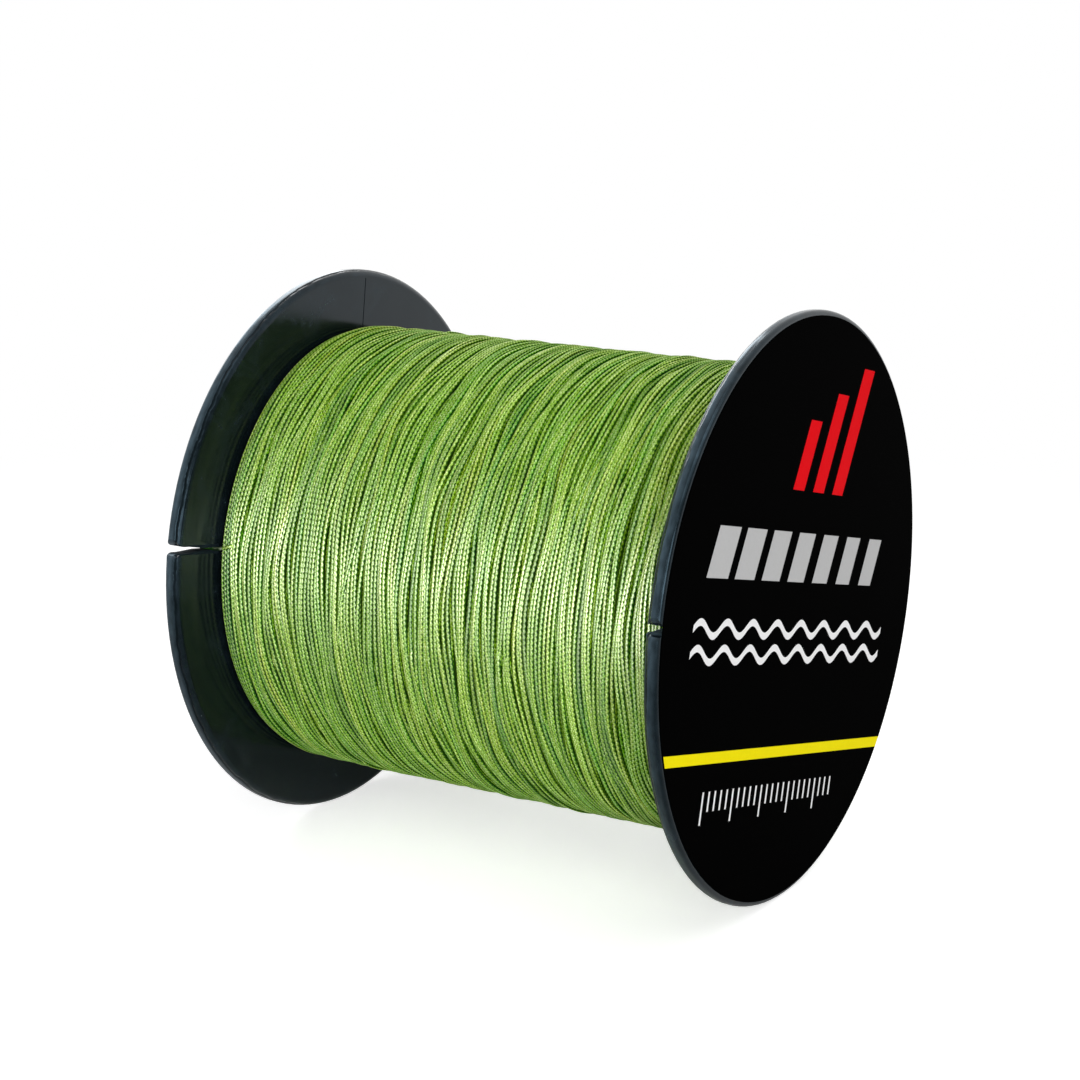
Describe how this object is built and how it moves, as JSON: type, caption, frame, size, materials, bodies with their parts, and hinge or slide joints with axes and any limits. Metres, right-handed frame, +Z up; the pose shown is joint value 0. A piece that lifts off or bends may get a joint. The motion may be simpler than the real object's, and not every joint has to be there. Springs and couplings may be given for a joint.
{
  "type": "fishing line spool",
  "caption": "Round moulded plastic spool wound full of green braided fishing line, with a line slit in each flange, a printed label and a bore for a spindle.",
  "frame": {"origin": "middle of the bore, half way between the outer faces of the flanges", "axes": "+Y along the spool's axis from the labelled front to the rear, +Z up as the spool lies on its rims, +X to the right seen from the front"},
  "size_m": [0.068, 0.0641, 0.068],
  "materials": {
    "black_plastic": "glossy moulded black polystyrene",
    "label_film": "printed self-adhesive film, smooth",
    "tape_paper": "crepe masking tape",
    "braided_line": "dyed braided polyethylene fibre with a soft sheen"
  },
  "bodies": {
    "root": {"front_half": "black_plastic", "rear_half": "black_plastic", "front_label": "label_film", "arbor_tape": "tape_paper", "line_inner_layers": "braided_line", "line_outer_layer": "braided_line", "line_tail": "braided_line"}
  },
  "joints": []
}
